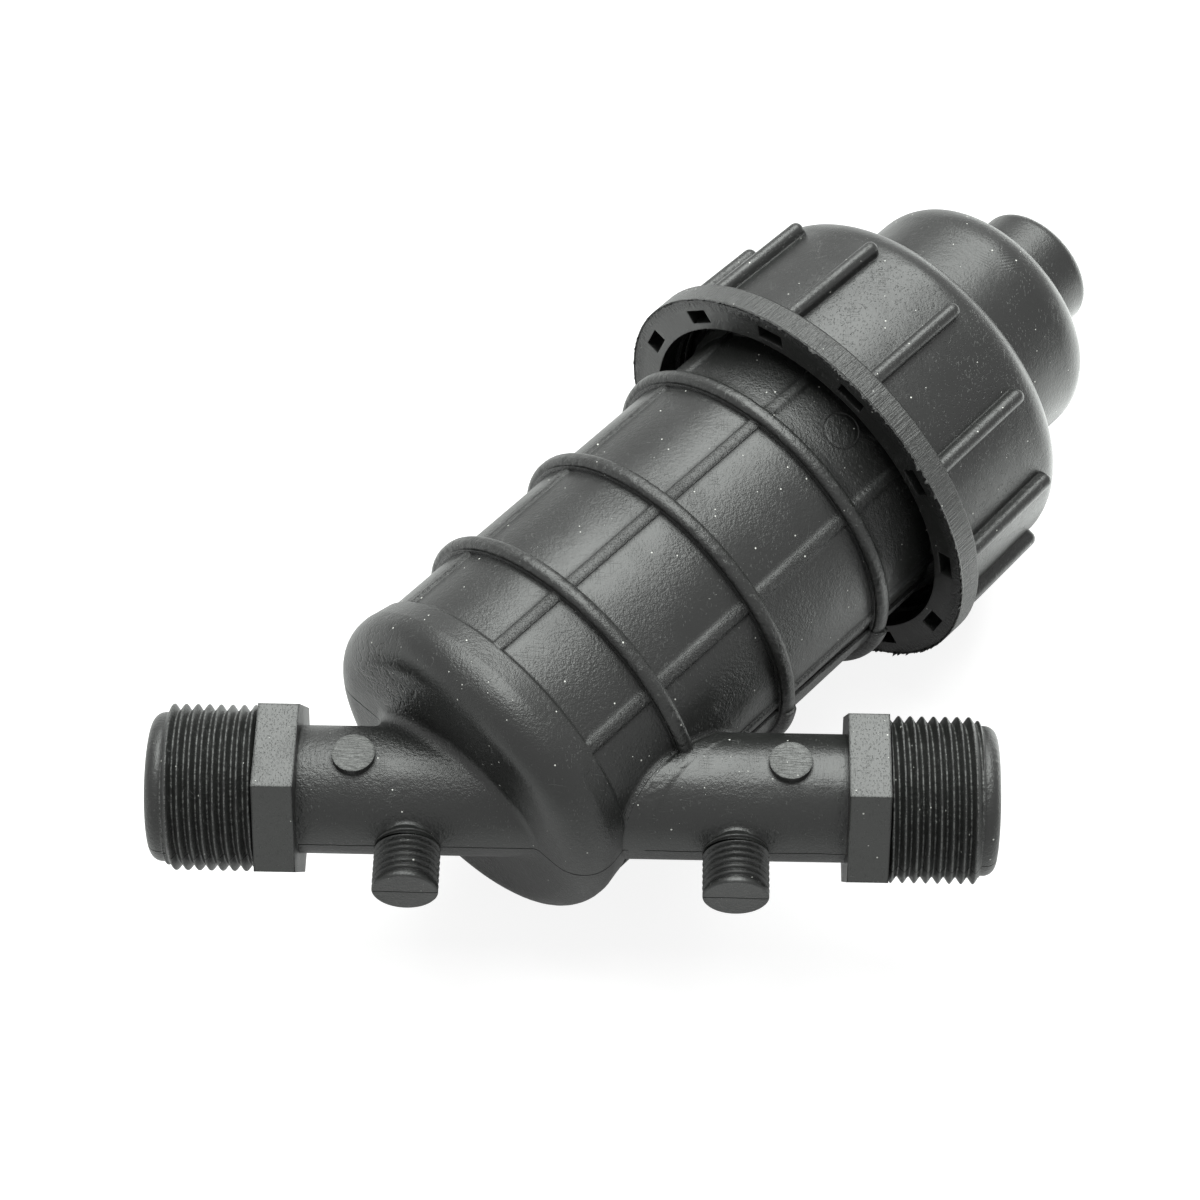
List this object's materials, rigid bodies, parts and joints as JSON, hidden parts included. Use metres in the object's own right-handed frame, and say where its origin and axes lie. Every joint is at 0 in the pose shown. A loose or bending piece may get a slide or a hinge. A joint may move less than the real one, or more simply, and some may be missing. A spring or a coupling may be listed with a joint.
{
  "type": "y filter",
  "caption": "Slanted-barrel Y filter for irrigation pipe with male threaded ends, a ribbed screw cap and a tubular screen cartridge inside.",
  "frame": {"origin": "centre of the inlet's end face, on the pipe axis", "axes": "+X along the flow, +Z square to the plane of the pipe and barrel axes, and the barrel slants 48 degrees from +X towards +Y"},
  "size_m": [0.1914, 0.1697, 0.092],
  "materials": {
    "body_plastic": "black moulded polypropylene, satin, fine grain",
    "cap_plastic": "black moulded polypropylene, satin, sawn flange edge",
    "cage_plastic": "black moulded polypropylene, smooth",
    "mesh_steel": "woven stainless wire cloth",
    "rubber": "black nitrile rubber"
  },
  "bodies": {
    "housing": {"housing": "body_plastic", "cap_seal": "rubber"},
    "cartridge": {"screen_cage": "cage_plastic", "screen_mesh": "mesh_steel", "screen_o_ring": "rubber"},
    "gasket": {"cap_gasket": "rubber"},
    "cap": {"cap": "cap_plastic"}
  },
  "joints": [
    {"name": "cartridge_pull", "type": "slide", "parent": "housing", "child": "cartridge", "axis": [0.6691, 0.7431, 0], "range_m": [0, 0.135]},
    {"name": "cap_travel", "type": "slide", "parent": "cartridge", "child": "gasket", "axis": [0.6691, 0.7431, 0], "range_m": [0, 0.015]},
    {"name": "cap_turn", "type": "hinge", "parent": "gasket", "child": "cap", "pos_m": [0.0574, 0, 0], "axis": [0.6691, 0.7431, 0], "range_deg": [0, 1080]}
  ],
  "couplings": [
    {"joint": "cap_travel", "follows": "cap_turn", "m_per_rad": 0.00079577}
  ]
}
